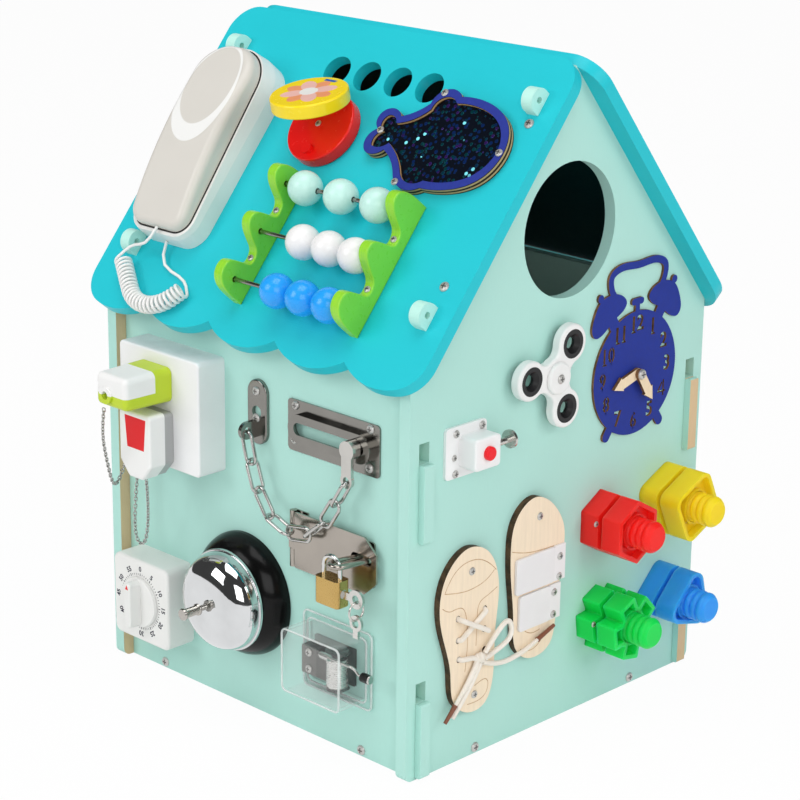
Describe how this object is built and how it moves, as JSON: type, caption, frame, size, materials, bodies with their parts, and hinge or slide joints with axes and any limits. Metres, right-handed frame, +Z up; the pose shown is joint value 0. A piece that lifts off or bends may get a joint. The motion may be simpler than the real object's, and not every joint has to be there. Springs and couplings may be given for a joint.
{
  "type": "busy house",
  "caption": "Gabled wooden play house whose roof and walls carry small activities: phone, abacus, clock, latch, laces, nuts, plugs, door chain, hasp, bell, timer and music box.",
  "frame": {"origin": "centre of the base, on the floor", "axes": "+Z up; +X out of the gable with the clock; -Y out of the wall with the bell; the ridge runs along X"},
  "size_m": [0.3657, 0.3731, 0.4662],
  "materials": {
    "mint_wood": "matt paint",
    "turquoise_wood": "satin paint",
    "raw_wood": "bare sanded",
    "blue_wood": "paint, burnt cut edges",
    "white_wood": "paint",
    "yellow_wood": "gloss paint",
    "red_wood": "gloss paint",
    "green_wood": "gloss paint",
    "steel": "nickel plate",
    "chrome": "polished",
    "brass": "polished",
    "white_plastic": "gloss",
    "grey_plastic": "satin",
    "black_plastic": "gloss",
    "red_plastic": "satin",
    "yellow_plastic": "satin",
    "green_plastic": "satin",
    "blue_plastic": "satin",
    "lime_plastic": "satin",
    "clear_plastic": "clear",
    "cord_plastic": "satin",
    "cream_lace": "braided"
  },
  "bodies": {
    "house": {"gable_right": "mint_wood", "gable_left": "mint_wood", "front_wall": "mint_wood", "back_wall": "mint_wood", "floor_panel": "mint_wood", "roof_front": "turquoise_wood", "roof_back": "turquoise_wood", "panel_screws": "steel", "roof_eyelets": "mint_wood", "phone_cradle": "white_plastic", "phone_cord": "cord_plastic", "castanet_base": "red_wood", "abacus_brackets": "green_wood", "abacus_rods": "steel", "whale_window": "blue_wood", "spinner_hub": "white_plastic", "clock_face": "blue_wood", "latch_case": "white_plastic", "shoe_soles": "raw_wood", "shoe_lace": "cream_lace", "toy_bolts": "red_plastic", "socket_box": "white_plastic", "plug_chains": "steel", "chain_plates": "steel", "door_chain": "steel", "hasp_base": "steel", "bell_base": "black_plastic", "bell_dome": "chrome", "timer_case": "white_plastic", "music_case": "clear_plastic", "music_movement": "steel"},
    "spinner": {"spinner_body": "white_plastic", "spinner_weights": "black_plastic"},
    "body_phone_handset": {"phone_handset": "grey_plastic"},
    "body_castanet_lid": {"castanet_lid": "yellow_wood"},
    "body_mint_beads": {"mint_beads": "mint_wood"},
    "body_white_beads": {"white_beads": "white_wood"},
    "body_blue_beads": {"blue_beads": "blue_wood"},
    "body_hour_hand": {"hour_hand": "raw_wood"},
    "body_minute_hand": {"minute_hand": "raw_wood"},
    "body_latch_bolt": {"latch_bolt": "steel"},
    "body_latch_button": {"latch_button": "red_plastic"},
    "body_strap_upper": {"strap_upper": "white_plastic"},
    "body_strap_lower": {"strap_lower": "white_plastic"},
    "body_nut_red": {"nut_red": "red_plastic"},
    "body_nut_yellow": {"nut_yellow": "yellow_plastic"},
    "body_nut_green": {"nut_green": "green_plastic"},
    "body_nut_blue": {"nut_blue": "blue_plastic"},
    "body_plug_green": {"plug_green": "lime_plastic"},
    "body_plug_red": {"plug_red": "white_plastic"},
    "body_chain_slider": {"chain_slider": "steel"},
    "body_hasp_leaf": {"hasp_leaf": "steel"},
    "body_padlock_shackle": {"padlock_shackle": "steel"},
    "body_padlock_body": {"padlock_body": "brass"},
    "body_padlock_key": {"padlock_key": "steel"},
    "body_key_ring": {"key_ring": "steel"},
    "body_bell_plunger": {"bell_plunger": "steel"},
    "body_timer_knob": {"timer_knob": "white_plastic"},
    "body_music_drum": {"music_drum": "steel"},
    "body_music_crank": {"music_crank": "steel"}
  },
  "joints": [
    {"name": "handset_lift", "type": "hinge", "parent": "house", "child": "body_phone_handset", "pos_m": [-0.103, -0.14209, 0.3321], "axis": [1, 0, 0], "range_deg": [0, 40]},
    {"name": "castanet_hinge", "type": "hinge", "parent": "house", "child": "body_castanet_lid", "pos_m": [-0.017, -0.05163, 0.42486], "axis": [1, 0, 0], "range_deg": [-10, 35], "stiffness_Nm_per_rad": 0.2},
    {"name": "mint_bead_slide", "type": "slide", "parent": "house", "child": "body_mint_beads", "axis": [1, 0, 0], "range_m": [-0.0062, 0.0037]},
    {"name": "white_bead_slide", "type": "slide", "parent": "house", "child": "body_white_beads", "axis": [1, 0, 0], "range_m": [-0.029, 0]},
    {"name": "blue_bead_slide", "type": "slide", "parent": "house", "child": "body_blue_beads", "axis": [1, 0, 0], "range_m": [-0.029, 0]},
    {"name": "spinner_spin", "type": "hinge", "parent": "house", "child": "spinner", "pos_m": [0.158, -0.022, 0.2565], "axis": [1, 0, 0], "continuous": true},
    {"name": "hour_hand_turn", "type": "hinge", "parent": "house", "child": "body_hour_hand", "pos_m": [0.1537, 0.072, 0.2384], "axis": [1, 0, 0], "continuous": true},
    {"name": "minute_hand_turn", "type": "hinge", "parent": "house", "child": "body_minute_hand", "pos_m": [0.1565, 0.072, 0.2384], "axis": [1, 0, 0], "continuous": true},
    {"name": "latch_bolt_push", "type": "slide", "parent": "house", "child": "body_latch_bolt", "axis": [0, -1, 0], "range_m": [0, 0.009], "stiffness_N_per_m": 60},
    {"name": "latch_button_press", "type": "slide", "parent": "house", "child": "body_latch_button", "axis": [-1, 0, 0], "range_m": [0, 0.0012], "stiffness_N_per_m": 200},
    {"name": "upper_strap_open", "type": "hinge", "parent": "house", "child": "body_strap_upper", "pos_m": [0.1571, -0.013, 0.1205], "axis": [0, 0, 1], "range_deg": [0, 100]},
    {"name": "lower_strap_open", "type": "hinge", "parent": "house", "child": "body_strap_lower", "pos_m": [0.1571, -0.017, 0.093], "axis": [0, 0, 1], "range_deg": [0, 100]},
    {"name": "red_nut_unscrew", "type": "slide", "parent": "house", "child": "body_nut_red", "axis": [1, 0, 0], "range_m": [0, 0.04]},
    {"name": "yellow_nut_unscrew", "type": "slide", "parent": "house", "child": "body_nut_yellow", "axis": [1, 0, 0], "range_m": [0, 0.04]},
    {"name": "green_nut_unscrew", "type": "slide", "parent": "house", "child": "body_nut_green", "axis": [1, 0, 0], "range_m": [0, 0.04]},
    {"name": "blue_nut_unscrew", "type": "slide", "parent": "house", "child": "body_nut_blue", "axis": [1, 0, 0], "range_m": [0, 0.04]},
    {"name": "green_plug_pull", "type": "slide", "parent": "house", "child": "body_plug_green", "axis": [0, -1, 0], "range_m": [0, 0.03], "deforming": ["plug_chains"]},
    {"name": "red_plug_pull", "type": "slide", "parent": "house", "child": "body_plug_red", "axis": [0, -1, 0], "range_m": [0, 0.03], "deforming": ["plug_chains"]},
    {"name": "chain_slider_slide", "type": "slide", "parent": "house", "child": "body_chain_slider", "axis": [1, 0, 0], "range_m": [-0.053, 0.003], "deforming": ["door_chain"]},
    {"name": "hasp_swing", "type": "hinge", "parent": "house", "child": "body_hasp_leaf", "pos_m": [0.0365, -0.1442, 0.1415], "axis": [0, 0, -1], "range_deg": [0, 6]},
    {"name": "padlock_swing", "type": "hinge", "parent": "house", "child": "body_padlock_shackle", "pos_m": [0.09511, -0.1635, 0.1476], "axis": [0, 1, 0], "range_deg": [-5, 5]},
    {"name": "padlock_release", "type": "slide", "parent": "body_padlock_shackle", "child": "body_padlock_body", "axis": [0, 0, -1], "range_m": [0, 0.004]},
    {"name": "key_turn", "type": "hinge", "parent": "body_padlock_body", "child": "body_padlock_key", "pos_m": [0.105, -0.1635, 0.1258], "axis": [-1, 0, 0], "range_deg": [0, 90]},
    {"name": "key_ring_swing", "type": "hinge", "parent": "body_padlock_key", "child": "body_key_ring", "pos_m": [0.117, -0.1635, 0.1258], "axis": [0, 1, 0], "range_deg": [-30, 30]},
    {"name": "bell_press", "type": "slide", "parent": "house", "child": "body_bell_plunger", "axis": [0, 1, 0], "range_m": [0, 0.0035], "stiffness_N_per_m": 150},
    {"name": "timer_turn", "type": "hinge", "parent": "house", "child": "body_timer_knob", "pos_m": [-0.102, -0.1653, 0.0595], "axis": [0, -1, 0], "range_deg": [-330, 0]},
    {"name": "crank_turn", "type": "hinge", "parent": "house", "child": "body_music_crank", "pos_m": [0.106, -0.1626, 0.0758], "axis": [1, 0, 0], "continuous": true},
    {"name": "drum_turn", "type": "hinge", "parent": "house", "child": "body_music_drum", "pos_m": [0.087, -0.152, 0.0615], "axis": [0, 0, 1], "continuous": true}
  ],
  "couplings": [
    {"joint": "drum_turn", "follows": "crank_turn", "ratio": -0.0625}
  ]
}
